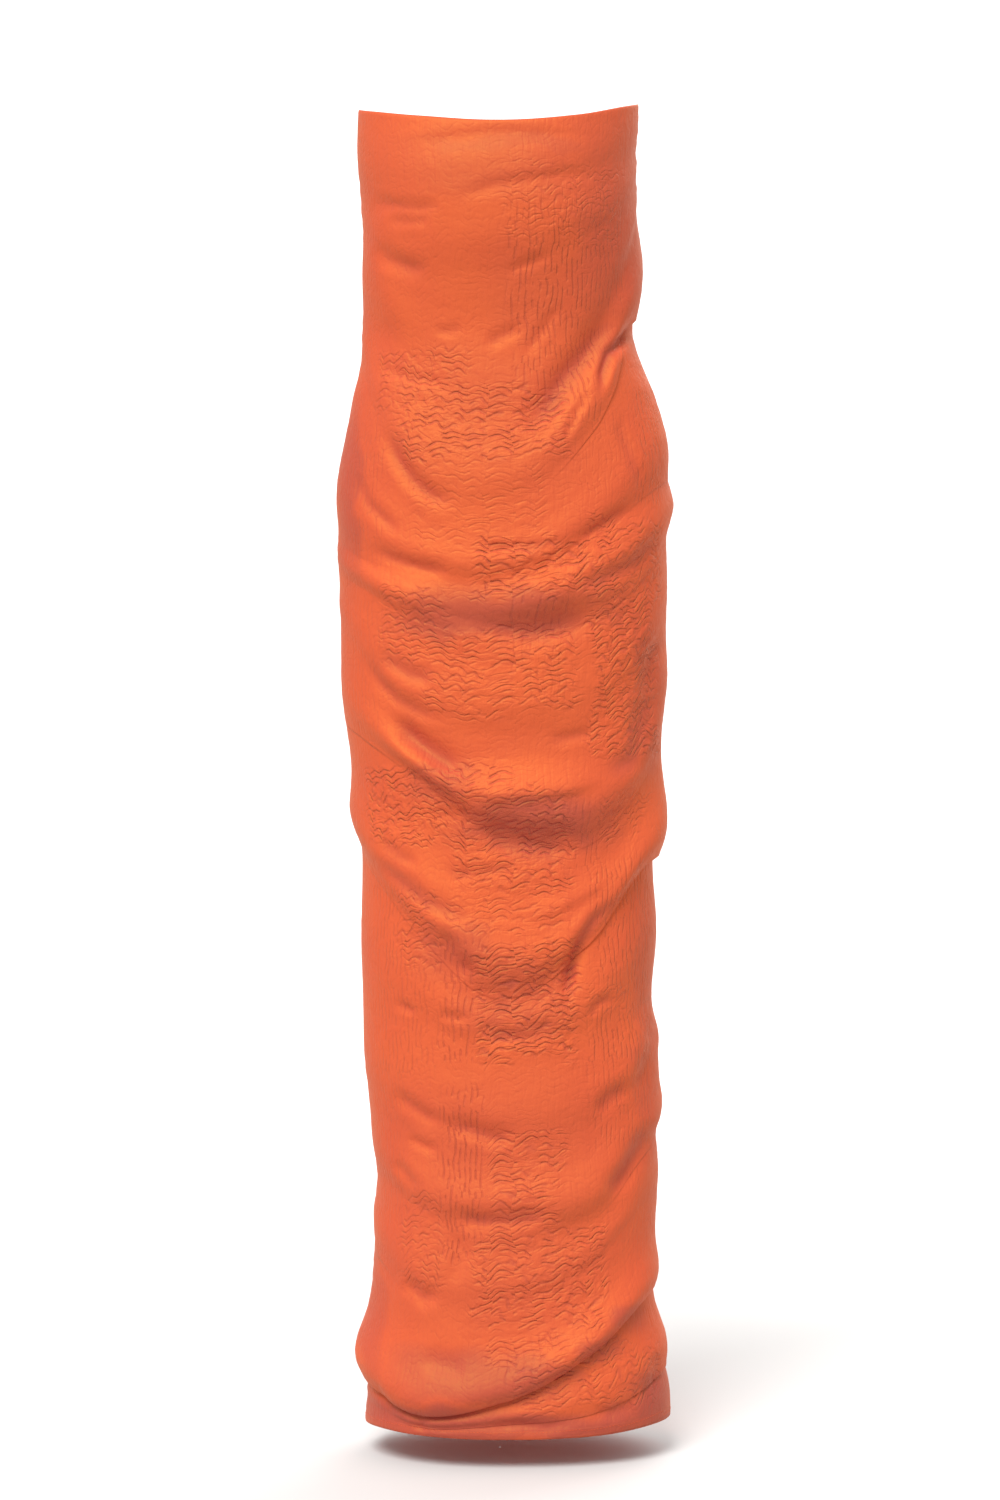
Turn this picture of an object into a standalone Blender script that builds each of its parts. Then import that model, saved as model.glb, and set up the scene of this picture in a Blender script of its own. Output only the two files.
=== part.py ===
"""Strapless maxi dress in crinkled satin, gathered into drooping folds at both side seams.

The dress keeps the hollow form that it has when worn. Its front faces -Y, its top is at +Z,
and the origin is at the centre of the top opening, level with the lowest point of the front's
top edge. Sizes are in millimetres; MM turns them into Blender's metres.
"""
import math
from collections import namedtuple

import bpy
import bmesh
from mathutils import Matrix, Vector

MM = 0.001

# Cloth
WALL = 1.6                  # thickness of each panel
SEAM_GAP = 0.3              # between the edges of two panels sewn together
SECTION_POWER = 2.25        # 2 is an ellipse, more is squarer
MITRE_LIMIT = 2.2           # how far a sharp fold may thicken the wall
FRONT_COLUMNS = 20          # strips across the front panel
BACK_COLUMNS = 8            # strips across each back panel

# Folds
SOFT_SHELF = -3.0           # a soft trough ends this far under its gather line
TUCKED_SHELF = 4.0          # a tucked fold's crevice hides this far above its lip
LIP_SHARE = 0.55            # share of a fold's swell that is left at a tucked lip
LIP_ROUNDING = 6            # power of the curve that brings the swell to its lip
ROW_CROWDING = 1.3          # over 1 crowds the rows towards each fold's lower end
BACK_TUCK = 0.25            # share of the left seam's tuck that is left at the centre back
SHARP_ANGLE = 50.0          # degrees; softer edges are shaded smooth

# Concealed zip at the centre back
ZIP_LENGTH = 420.0
ZIP_TOP = -26.0             # where the tapes start, under the slider
TAPE_WIDTH = 12.0
TAPE_WALL = 0.8
TAPE_CLEARANCE = 0.4        # between a tape and the panel it is sewn to
TEETH_GAP = 2.6             # between the two tapes, where the teeth run

# Slider and pull tab
SLIDER_HEIGHT = -12.0       # of the pull's axis
SLIT_WIDTH = 2.0            # between the panels' edges round the slider's neck
SLIT_FULL = -16.0           # the slit is full width from here up
SLIT_END = -27.0            # where the edges have closed up again
LUG_THICKNESS = 1.2
LUG_RADIUS = 2.1
LUG_SIDES = 16
EYE_RADIUS = 1.1
EYE_SIDES = 12
LUG_STAND = 3.0             # from the cloth's outer face to the pull's axis
NECK_HEIGHT = 3.4
NECK_OVERLAP = 1.0          # how far the neck runs into the lug and the body
SLIDER_ROUNDING = 0.8
SLIDER_WIDTH = 7.0
SLIDER_DEPTH = 3.6
SLIDER_LENGTH = 11.0
PULL_THICKNESS = 1.2
PULL_BAR = 0.6              # half the height of the bar that runs through the eye
PULL_WINDOW = 3.4           # from the axis to the window's lower edge
PULL_WINDOW_WIDTH = 2.6
PULL_TOP_WIDTH = 4.8
PULL_LENGTH = 24.0
PULL_DROP_WIDTH = 7.4
PULL_SHOULDER = 1.0         # how far the straight sides run on below the window
PULL_ARC_STEPS = 12
PULL_EDGE = 0.2

# Colours, sRGB
SATIN_COLOUR = "E86440"
TAPE_COLOUR = "D85A38"
ZIP_METAL_COLOUR = "DC5C38"

# The figure's section at each height, measured from the middle to each side
Section = namedtuple("Section", "height left right front back")
SECTIONS = [
    Section(38, 146, 143, 103, 97),
    Section(-9, 146, 140, 113, 98),
    Section(-50, 144, 140, 119, 97),
    Section(-91, 141, 140, 120, 94),
    Section(-165, 141, 138, 105, 85),
    Section(-205, 141, 137, 97, 83),
    Section(-235, 144, 147, 97, 88),
    Section(-265, 151, 158, 101, 98),
    Section(-340, 163, 172, 110, 116),
    Section(-397, 166, 171, 113, 120),
    Section(-487, 164, 171, 112, 113),
    Section(-577, 161, 168, 108, 107),
    Section(-650, 151, 163, 105, 103),
    Section(-730, 142, 157, 101, 101),
    Section(-880, 141, 156, 98, 100),
    Section(-948, 138, 163, 98, 101),
    Section(-1012, 132, 160, 98, 101),
    Section(-1070, 126, 162, 99, 102),
    Section(-1172, 131, 157, 102, 104),
    Section(-1252, 133, 168, 105, 107),
    Section(-1315, 139, 177, 108, 110),
]

# The top edge: its height at each side seam, at 30 and 60 degrees to each side, at the centre
# front and at the centre back
Edge = namedtuple("Edge", "left left60 left30 centre right30 right60 right back")
TOP_EDGE = Edge(32, 19, 7, 0, 8, 24, 38, 5)

# A fold swells out and ends at its gather line. The heights are the gather line's, as in Edge.
# puff: how far the fold swells at each place. tuck: 0 is a soft trough, 1 a lip with a crevice
# under it. belly: how far down the fold it swells most. rows: the strips it is built from.
Fold = namedtuple("Fold", Edge._fields + (
    "puff_left", "puff_front", "puff_right", "puff_back",
    "tuck_left", "tuck_front", "tuck_right", "belly", "rows"))
FOLDS = [
    Fold(-52, -73, -88, -76, -57, -31, -9, -58, 1, 2, 1, 0.5, 0.0, 0.0, 0.0, 0.55, 4),
    Fold(-91, -117, -149, -151, -124, -84, -30, -112, 0.5, 2, 1, 0.5, 0.0, 0.0, 0.0, 0.55, 3),
    Fold(-167, -195, -243, -290, -231, -145, -60, -190, 1, 2.5, 1, 0.5, 0.0, 0.0, 0.0, 0.6, 4),
    Fold(-217, -267, -363, -386, -311, -215, -178, -268, 1, 6, 8, 0.5, 0.0, 0.4, 0.9, 0.5, 5),
    Fold(-397, -427, -447, -455, -413, -365, -345, -405, 3, 4, 4, 0.5, 0.2, 0.1, 0.3, 0.75, 5),
    Fold(-448, -461, -497, -517, -495, -446, -400, -470, 1.5, 8, 2, 1, 0.0, 0.5, 0.2, 0.6, 4),
    Fold(-487, -530, -604, -614, -602, -532, -482, -545, 1, 4, 1, 2, 0.2, 0.1, 0.0, 0.6, 4),
    Fold(-595, -615, -655, -716, -723, -660, -577, -650, 1, 9, 2, 3, 0.3, 0.4, 0.2, 0.6, 5),
    Fold(-720, -755, -816, -874, -826, -750, -730, -800, 9, 11, 13, 5, 0.6, 0.6, 0.9, 0.55, 6),
    Fold(-880, -890, -905, -927, -916, -885, -877, -930, 2, 4, 6, 3, 0.0, 0.2, 0.6, 0.55, 5),
    Fold(-975, -988, -1012, -1028, -1010, -960, -940, -1020, 1, 3, 3, 3, 0.0, 0.1, 0.2, 0.6, 4),
    Fold(-1055, -1068, -1095, -1114, -1100, -1043, -1012, -1095, 1, 6, 5, 4, 0.1, 0.3, 0.7, 0.55, 4),
    Fold(-1128, -1150, -1184, -1182, -1150, -1095, -1074, -1165, 3, 3, 1, 3, 0.3, 0.1, 0.1, 0.6, 4),
    Fold(-1258, -1274, -1291, -1276, -1230, -1186, -1170, -1250, 13, 11, 5, 6, 0.9, 0.8, 0.7, 0.72, 6),
    Fold(-1287, -1294, -1304, -1299, -1290, -1268, -1250, -1288, 1, 3, 5, 3, 0.0, 0.2, 0.6, 0.6, 3),
    Fold(-1315, -1312, -1313, -1314, -1313, -1309, -1308, -1313, 0, 1, 2, 1, 0.0, 0.0, 0.0, 0.5, 3),
]


def remove_everything():
    """Empty the scene."""
    for item in list(bpy.data.objects):
        bpy.data.objects.remove(item, do_unlink=True)


def linear(channel):
    """One sRGB channel, 0 to 255, as a linear value."""
    value = channel / 255
    if value <= 0.04045:
        return value / 12.92
    return ((value + 0.055) / 1.055) ** 2.4


def make_material(name, colour, roughness):
    """A Principled material from an sRGB hex colour."""
    material = bpy.data.materials.new(name)
    material.use_nodes = True
    shader = material.node_tree.nodes["Principled BSDF"]
    channels = [linear(int(colour[i:i + 2], 16)) for i in (0, 2, 4)]
    shader.inputs["Base Color"].default_value = (*channels, 1.0)
    shader.inputs["Roughness"].default_value = roughness
    shader.inputs["Metallic"].default_value = 0.0
    return material


def smoothstep(share):
    """0 to 1 with level ends."""
    share = min(max(share, 0.0), 1.0)
    return share * share * (3 - 2 * share)


def curve_through(places, values, place):
    """A smooth curve through values at rising places."""
    last = len(places) - 1
    place = min(max(place, places[0]), places[last])
    i = 0
    while i < last - 1 and place > places[i + 1]:
        i += 1

    def slope(k):
        before, after = max(k - 1, 0), min(k + 1, last)
        return (values[after] - values[before]) / (places[after] - places[before])

    span = places[i + 1] - places[i]
    t = (place - places[i]) / span
    return ((1 + 2 * t) * (1 - t) ** 2 * values[i] + t * (1 - t) ** 2 * span * slope(i)
            + t * t * (3 - 2 * t) * values[i + 1] - t * t * (1 - t) * span * slope(i + 1))


def around(angle, left, front, right, back):
    """Blend four values round the body; 0 degrees is the front and 90 the right seam."""
    side = right if angle > 0 else left
    turn = abs(angle)
    if turn <= 90:
        return front + (side - front) * smoothstep(turn / 90)
    return side + (back - side) * smoothstep((turn - 90) / 90)


def line_height(line, angle):
    """Height of the top edge or of a gather line at an angle."""
    turn = abs(angle)
    if turn <= 90:
        return curve_through((-90, -60, -30, 0, 30, 60, 90), line[:7], angle)
    side = line.right if angle > 0 else line.left
    return side + (line.back - side) * smoothstep((turn - 90) / 90)


def figure_point(angle, height):
    """Point of the figure's section and its level outward direction."""
    rising = SECTIONS[::-1]
    heights = [row.height for row in rising]

    def size(name):
        return curve_through(heights, [getattr(row, name) for row in rising], height)

    across = size("right") if angle > 0 else size("left")
    along = size("front") if abs(angle) <= 90 else size("back")
    turn = math.radians(angle)
    sine, cosine = math.sin(turn), math.cos(turn)
    power = 2 / SECTION_POWER
    x = math.copysign(across * abs(sine) ** power, sine)
    y = -math.copysign(along * abs(cosine) ** power, cosine)
    steep = SECTION_POWER - 1
    outward = Vector((math.copysign(abs(x / across) ** steep / across, x),
                      math.copysign(abs(y / along) ** steep / along, y), 0))
    return Vector((x, y, height)), outward.normalized()


def fold_tuck(fold, angle):
    """How sharply a fold is tucked under at an angle, 0 to 1."""
    back = BACK_TUCK * fold.tuck_left
    return around(angle, fold.tuck_left, fold.tuck_front, fold.tuck_right, back)


def crevice_height(fold, angle):
    """Height of the crevice or trough that ends a fold."""
    shelf = SOFT_SHELF + (TUCKED_SHELF - SOFT_SHELF) * fold_tuck(fold, angle)
    return line_height(fold, angle) + shelf


def fold_swell(fold, angle, share):
    """How far a fold stands out from the figure, at a share of the way down it."""
    puff = around(angle, fold.puff_left, fold.puff_front, fold.puff_right, fold.puff_back)
    bend = math.log(0.5) / math.log(fold.belly)
    belly = math.sin(math.pi * share ** bend)
    return puff * (belly + LIP_SHARE * fold_tuck(fold, angle) * share ** LIP_ROUNDING)


def column_points(angle):
    """The cloth's outer points from the top edge down to the hem, at one angle."""
    points = [figure_point(angle, line_height(TOP_EDGE, angle))[0]]
    upper = points[0].z
    for fold in FOLDS:
        lower = line_height(fold, angle)
        for row in range(1, fold.rows + 1):
            share = 1 - (1 - row / fold.rows) ** ROW_CROWDING
            base, outward = figure_point(angle, upper + (lower - upper) * share)
            points.append(base + outward * fold_swell(fold, angle, share))
        if fold is not FOLDS[-1]:
            upper = crevice_height(fold, angle)
            points.append(figure_point(angle, upper)[0])
    return points


def slit_half_width(height):
    """Half the gap between the back panels at a height: wider round the slider's neck."""
    open_share = smoothstep((height - SLIT_END) / (SLIT_FULL - SLIT_END))
    return (SEAM_GAP + (SLIT_WIDTH - SEAM_GAP) * open_share) / 2


def part_edge(points, angle, side):
    """Shift an edge column off its seam, to the given side of it."""
    for point in points:
        if abs(angle) == 180:
            point.x = side * slit_half_width(point.z)
        else:
            point.y = side * SEAM_GAP / 2


def panel_grid(start, end, columns, start_side, end_side):
    """Columns of outer points of a panel between two seams."""
    grid = []
    for i in range(columns + 1):
        angle = start + (end - start) * i / columns
        points = column_points(angle)
        if i == 0:
            part_edge(points, angle, start_side)
        if i == columns:
            part_edge(points, angle, end_side)
        grid.append(points)
    return grid


def grid_normals(grid, seam_axes):
    """Outward direction and mitre at each point; seam columns and level rims keep flat edges."""
    last_column, last_row = len(grid) - 1, len(grid[0]) - 1
    faces = {}
    for i in range(last_column):
        for j in range(last_row):
            across = grid[i + 1][j] + grid[i + 1][j + 1] - grid[i][j] - grid[i][j + 1]
            down = grid[i][j + 1] + grid[i + 1][j + 1] - grid[i][j] - grid[i + 1][j]
            faces[i, j] = down.cross(across).normalized()
    normals = []
    for i in range(last_column + 1):
        column = []
        for j in range(last_row + 1):
            near = [faces[a, b] for a in (i - 1, i) for b in (j - 1, j) if (a, b) in faces]
            normal = sum(near, Vector())
            if i in (0, last_column):
                normal[seam_axes[0 if i == 0 else 1]] = 0
            if j in (0, last_row):
                normal.z = 0
            normal.normalize()
            lean = sum(normal.dot(face) for face in near) / len(near)
            column.append(normal * min(1 / max(lean, 0.1), MITRE_LIMIT))
        normals.append(column)
    return normals


def finished_mesh(name, mesh):
    """Turn a closed bmesh's faces outwards and store it."""
    bmesh.ops.recalc_face_normals(mesh, faces=mesh.faces[:])
    data = bpy.data.meshes.new(name)
    mesh.to_mesh(data)
    mesh.free()
    return data


def walled_mesh(name, outer, inner):
    """A closed wall between two grids of the same size."""
    columns, rows = len(outer), len(outer[0])
    mesh = bmesh.new()
    sheets = []
    for grid in (outer, inner):
        sheets.append([[mesh.verts.new(point * MM) for point in column] for column in grid])
    out, back = sheets
    for i in range(columns - 1):
        for j in range(rows - 1):
            mesh.faces.new((out[i][j], out[i][j + 1], out[i + 1][j + 1], out[i + 1][j]))
            mesh.faces.new((back[i][j], back[i + 1][j], back[i + 1][j + 1], back[i][j + 1]))
    for i in range(columns - 1):
        mesh.faces.new((out[i][0], out[i + 1][0], back[i + 1][0], back[i][0]))
        mesh.faces.new((out[i + 1][-1], out[i][-1], back[i][-1], back[i + 1][-1]))
    for j in range(rows - 1):
        mesh.faces.new((out[0][j + 1], out[0][j], back[0][j], back[0][j + 1]))
        mesh.faces.new((out[-1][j], out[-1][j + 1], back[-1][j + 1], back[-1][j]))
    bmesh.ops.triangulate(mesh, faces=mesh.faces[:])
    return finished_mesh(name, mesh)


def add_object(name, mesh, material, smooth=True):
    """Link a mesh as a named object with its material."""
    item = bpy.data.objects.new(name, mesh)
    item.data.materials.append(material)
    bpy.context.scene.collection.objects.link(item)
    if smooth:
        item.data.shade_smooth()
        item.data.set_sharp_from_angle(angle=math.radians(SHARP_ANGLE))
    return item


def make_panel(name, grid, seam_axes, material):
    """A panel of cloth from its outer points. Returns the offsets to its inner side."""
    normals = grid_normals(grid, seam_axes)
    add_object(name, walled_mesh(name, grid, moved_in(grid, normals, WALL)), material)
    return normals


def moved_in(grid, normals, depth):
    """A grid of points moved in along its normals."""
    return [[point - normal * depth for point, normal in zip(*pair)] for pair in zip(grid, normals)]


def make_front(material):
    """The front panel, from the left of the picture to the right."""
    make_panel("front_panel", panel_grid(-90, 90, FRONT_COLUMNS, -1, -1), (1, 1), material)


def make_back_half(name, side, cloth, tape):
    """A back panel and the zip tape under its edge, made from the same points."""
    if side > 0:
        grid = panel_grid(90, 180, BACK_COLUMNS, 1, 1)
        normals = make_panel(f"back_{name}_panel", grid, (1, 0), cloth)
        edges, edge_normals = grid[:-3:-1], normals[:-3:-1]
    else:
        grid = panel_grid(-180, -90, BACK_COLUMNS, -1, 1)
        normals = make_panel(f"back_{name}_panel", grid, (0, 1), cloth)
        edges, edge_normals = grid[:2], normals[:2]
    columns, column_normals = [], []
    for across in (TEETH_GAP / 2, TEETH_GAP / 2 + TAPE_WIDTH):
        column, column_normal = [], []
        for seam, inside, seam_normal, inside_normal in zip(*edges, *edge_normals):
            if ZIP_TOP >= seam.z >= ZIP_TOP - ZIP_LENGTH:
                share = (across - abs(seam.x)) / abs(inside.x - seam.x)
                column.append(seam.lerp(inside, share))
                column_normal.append(seam_normal.lerp(inside_normal, share))
        columns.append(column)
        column_normals.append(column_normal)
    if side > 0:
        columns.reverse()
        column_normals.reverse()
    depth = WALL + TAPE_CLEARANCE
    outer = moved_in(columns, column_normals, depth)
    inner = moved_in(columns, column_normals, depth + TAPE_WALL)
    add_object(f"zip_tape_{name}", walled_mesh(f"zip_tape_{name}", outer, inner), tape)


def back_point(height):
    """The cloth's outer point at the centre back, at a height near the top edge."""
    points = column_points(180)
    for above, below in zip(points, points[1:]):
        if below.z <= height:
            return above.lerp(below, (above.z - height) / (above.z - below.z))
    return points[-1]


def bar_object(name, low, high, material):
    """A plain bar between two corners."""
    mesh = bmesh.new()
    bmesh.ops.create_cube(mesh, size=1.0)
    size = Vector(high) - Vector(low)
    middle = (Vector(high) + Vector(low)) / 2
    bmesh.ops.scale(mesh, vec=size * MM, verts=mesh.verts)
    bmesh.ops.translate(mesh, vec=middle * MM, verts=mesh.verts)
    return add_object(name, finished_mesh(name, mesh), material, smooth=False)


def disc_object(name, radius, thickness, sides, material):
    """A disc round the X axis."""
    mesh = bmesh.new()
    bmesh.ops.create_cone(mesh, cap_ends=True, segments=sides, radius1=radius * MM,
                          radius2=radius * MM, depth=thickness * MM,
                          matrix=Matrix.Rotation(math.pi / 2, 4, "Y"))
    return add_object(name, finished_mesh(name, mesh), material)


def combine(item, tool, operation):
    """Join a tool to an object, or cut it away."""
    change = item.modifiers.new(tool.name, "BOOLEAN")
    change.operation = operation
    change.solver = "EXACT"
    change.object = tool
    tool.parent = item
    tool.hide_render = True
    tool.display_type = "WIRE"


def pull_axis():
    """The point that the pull tab swings round."""
    return Vector((0, back_point(SLIDER_HEIGHT).y + LUG_STAND, SLIDER_HEIGHT))


def make_slider(material):
    """The slider: a body inside the zip, a neck through the slit, and a lug with an eye."""
    inside = -(LUG_STAND + WALL + 2 * TAPE_CLEARANCE + TAPE_WALL)
    item = bar_object("zip_slider", (-SLIDER_WIDTH / 2, inside - SLIDER_DEPTH, -SLIDER_LENGTH / 2),
                      (SLIDER_WIDTH / 2, inside, SLIDER_LENGTH / 2), material)
    item.location = pull_axis() * MM
    rounding = item.modifiers.new("edges", "BEVEL")
    rounding.width = SLIDER_ROUNDING * MM
    rounding.segments = 2
    half = LUG_THICKNESS / 2
    neck = bar_object("slider_neck", (-half, inside - NECK_OVERLAP, -NECK_HEIGHT / 2),
                      (half, NECK_OVERLAP - LUG_RADIUS, NECK_HEIGHT / 2), material)
    lug = disc_object("slider_lug", LUG_RADIUS, LUG_THICKNESS, LUG_SIDES, material)
    eye = disc_object("slider_eye", EYE_RADIUS, 3 * LUG_THICKNESS, EYE_SIDES, material)
    combine(item, neck, "UNION")
    combine(item, lug, "UNION")
    combine(item, eye, "DIFFERENCE")


def pull_outline():
    """The pull tab's outer edge, anticlockwise from its top right corner."""
    half = PULL_TOP_WIDTH / 2
    radius = PULL_DROP_WIDTH / 2
    centre = PULL_BAR + radius - PULL_LENGTH
    shoulder = -PULL_WINDOW - PULL_SHOULDER
    points = [(half, PULL_BAR), (-half, PULL_BAR), (-half, shoulder)]
    for step in range(PULL_ARC_STEPS + 1):
        turn = math.pi + math.pi * step / PULL_ARC_STEPS
        points.append((radius * math.cos(turn), centre + radius * math.sin(turn)))
    points.append((half, shoulder))
    return points


def make_pull(material):
    """The pull tab, with a window whose top bar runs through the slider's eye."""
    mesh = bmesh.new()
    front = -PULL_THICKNESS / 2
    corners = [mesh.verts.new(Vector((x, front, z)) * MM) for x, z in pull_outline()]
    face = mesh.faces.new(corners)
    thick = bmesh.ops.extrude_face_region(mesh, geom=[face])
    moved = [part for part in thick["geom"] if isinstance(part, bmesh.types.BMVert)]
    bmesh.ops.translate(mesh, vec=(0, PULL_THICKNESS * MM, 0), verts=moved)
    item = add_object("zip_pull", finished_mesh("zip_pull", mesh), material, smooth=False)
    item.location = pull_axis() * MM
    half = PULL_WINDOW_WIDTH / 2
    window = bar_object("pull_window", (-half, -PULL_THICKNESS, -PULL_WINDOW),
                        (half, PULL_THICKNESS, -PULL_BAR), material)
    combine(item, window, "DIFFERENCE")
    rounding = item.modifiers.new("edges", "BEVEL")
    rounding.width = PULL_EDGE * MM
    rounding.segments = 1


def main():
    remove_everything()
    satin = make_material("crinkled_satin", SATIN_COLOUR, 0.45)
    tape = make_material("zip_tape", TAPE_COLOUR, 0.8)
    metal = make_material("painted_zip_metal", ZIP_METAL_COLOUR, 0.4)
    make_front(satin)
    make_back_half("left", 1, satin, tape)
    make_back_half("right", -1, satin, tape)
    make_slider(metal)
    make_pull(metal)


main()
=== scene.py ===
"""Strapless maxi dress in crinkled satin, gathered into drooping folds at its side seams.

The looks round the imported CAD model, in the same frame: front to -Y, up to +Z. Sizes in the
tables are millimetres, and MM turns them into metres.
"""

import math

import bpy
import numpy as np
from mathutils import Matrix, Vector


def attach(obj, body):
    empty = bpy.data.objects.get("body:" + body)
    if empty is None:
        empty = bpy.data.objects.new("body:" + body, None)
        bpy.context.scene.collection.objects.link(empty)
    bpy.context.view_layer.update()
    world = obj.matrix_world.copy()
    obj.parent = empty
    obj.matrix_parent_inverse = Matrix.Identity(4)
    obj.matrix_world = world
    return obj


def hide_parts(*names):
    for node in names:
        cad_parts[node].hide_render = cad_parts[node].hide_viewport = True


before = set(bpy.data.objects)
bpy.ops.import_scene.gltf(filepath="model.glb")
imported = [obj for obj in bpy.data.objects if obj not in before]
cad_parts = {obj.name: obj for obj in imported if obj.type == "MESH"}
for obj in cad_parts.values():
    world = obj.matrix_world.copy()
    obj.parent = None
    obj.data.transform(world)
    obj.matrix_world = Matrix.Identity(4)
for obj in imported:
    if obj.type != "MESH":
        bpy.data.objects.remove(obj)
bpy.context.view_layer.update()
MM = 0.001

# The photograph: its height in pixels, its scale at the dress, and where the camera stands
PHOTO_HEIGHT = 1500
MM_PER_PIXEL = 1.03
CAMERA_DISTANCE = 3200.0
CAMERA_HEIGHT = -627.0
SENSOR = 36.0

# The figure's sections, as in the CAD: the height of each, then how far it reaches from the
# middle to the left, right, front and back
SECTIONS = [
    (38, 146, 143, 103, 97),
    (-9, 146, 140, 113, 98),
    (-50, 144, 140, 119, 97),
    (-91, 141, 140, 120, 94),
    (-165, 141, 138, 105, 85),
    (-205, 141, 137, 97, 83),
    (-235, 144, 147, 97, 88),
    (-265, 151, 158, 101, 98),
    (-340, 163, 172, 110, 116),
    (-397, 166, 171, 113, 120),
    (-487, 164, 171, 112, 113),
    (-577, 161, 168, 108, 107),
    (-650, 151, 163, 105, 103),
    (-730, 142, 157, 101, 101),
    (-880, 141, 156, 98, 100),
    (-948, 138, 163, 98, 101),
    (-1012, 132, 160, 98, 101),
    (-1070, 126, 162, 99, 102),
    (-1172, 131, 157, 102, 104),
    (-1252, 133, 168, 105, 107),
    (-1315, 139, 177, 108, 110),
]
SECTION_POWER = 2.25
WALL = 1.6
SEAM_GAP = 0.04
SEAM_ROLL = 0.8              # the cloth turns in this far at its seams, over the width below
SEAM_ROLL_WIDTH = 3.6

# Heights of the top edge at the side seams, at 30 and 60 degrees to each side, at the centre
# front and at the centre back
TOP_EDGE = (32, 19, 7, 0, 8, 24, 38, 5)
FRONT_ANGLES = (-90, -60, -30, 0, 30, 60, 90)

# Each fold: its gather line's heights as above, how far it swells (left, front, right, back),
# how sharply it is tucked under (left, front, right), and how far down it swells most
FOLDS = [
    ((-52, -73, -88, -76, -57, -31, -9, -58), (1, 2, 1, 0.5), (0.0, 0.0, 0.0), 0.55),
    ((-91, -117, -149, -151, -124, -84, -30, -112), (0.5, 2, 1, 0.5), (0.0, 0.0, 0.0), 0.55),
    ((-167, -195, -243, -290, -231, -145, -60, -190), (1, 2.5, 1, 0.5), (0.0, 0.0, 0.0), 0.6),
    ((-217, -267, -363, -386, -311, -215, -178, -268), (1, 4, 8, 0.5), (0.0, 0.0, 0.95), 0.6),
    ((-397, -427, -447, -455, -413, -365, -345, -405), (3, 4, 4, 0.5), (0.1, 0.0, 0.2), 0.75),
    ((-448, -461, -497, -517, -495, -446, -400, -470), (1.5, 9, 6, 1), (0.0, 0.1, 0.15), 0.5),
    ((-487, -530, -604, -614, -602, -532, -482, -545), (1, 4, 1, 2), (0.1, 0.0, 0.0), 0.6),
    ((-595, -615, -655, -716, -723, -660, -577, -650), (1, 11, 3, 3), (0.3, 0.0, 0.3), 0.66),
    ((-720, -755, -816, -874, -826, -750, -730, -800), (9, 11, 13, 5), (0.1, 0.1, 0.95), 0.74),
    ((-880, -890, -905, -927, -916, -885, -877, -930), (2, 4, 6, 3), (0.0, 0.0, 0.1), 0.55),
    ((-975, -988, -1012, -1028, -1010, -960, -940, -1020), (1, 3, 3, 3), (0.1, 0.0, 0.0), 0.6),
    ((-1055, -1068, -1095, -1114, -1100, -1043, -1012, -1095), (1, 7, 6, 4), (0.0, 0.0, 0.25), 0.65),
    ((-1128, -1150, -1184, -1182, -1150, -1095, -1074, -1165), (3, 3, 1, 3), (0.2, 0.0, 0.1), 0.6),
    ((-1258, -1274, -1291, -1276, -1230, -1186, -1170, -1250), (13, 12, 7, 6), (0.9, 0.9, 0.9), 0.8),
    ((-1287, -1294, -1304, -1299, -1290, -1268, -1250, -1288), (1, 4, 6, 3), (0.0, 0.3, 0.8), 0.7),
    ((-1315, -1312, -1313, -1314, -1313, -1309, -1308, -1313), (0, 1, 2, 1), (0.0, 0.0, 0.0), 0.5),
]
SOFT_SHELF = -3.0           # how far above its gather line the cloth goes on: a soft fold
TUCKED_SHELF = 6.0          # and a tucked one
LIP_SHARE = 0.7
LIP_ROUNDING = 6
LIP_FULLNESS = 0.8
LEAST_DROP = 1.0            # how far a lip rounds down before it turns in, and more if tucked
LIP_DROP = 2.2
BACK_TUCK = 0.25
SEAM_TUCK = 0.45            # share of its tuck that a fold keeps at the side seams
SOFT_POWER = 0.7            # added to a soft fold's curve, which rounds its trough
UNEVEN = 0.2                # share by which a fold's swell varies along it
UNEVEN_SPAN = 28.0          # degrees for each rise of that
FOLD_SHIFT = 7.3            # how much further along each fold starts in it
FOLD_SEED = 11

# Stage, in metres: its floor, how far that is flat, its bend into the backdrop, and its top
STAGE_FLOOR = -1.345
STAGE_REACH = 5.0
STAGE_BEND = 1.2
STAGE_TOP = 2.4
STAGE_SIDES = 96
STAGE_BEND_STEPS = 32
SURROUND = 0.63             # strength of the white light from all round

# Mesh density
ROW_SPACING = 2.35
CURL_ROWS = 4
FRONT_COLUMNS = 128
BACK_COLUMNS = 72
INNER_STEP = 4              # columns and rows of the outer side for one of the inner side
INNER_ROWS_STEP = 6
LEAST_STEP = 0.001          # each point of the inner side lies at least this far below the last
ARC_PER_DEGREE = 2.5        # mean length of cloth for a degree round the body

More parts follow.
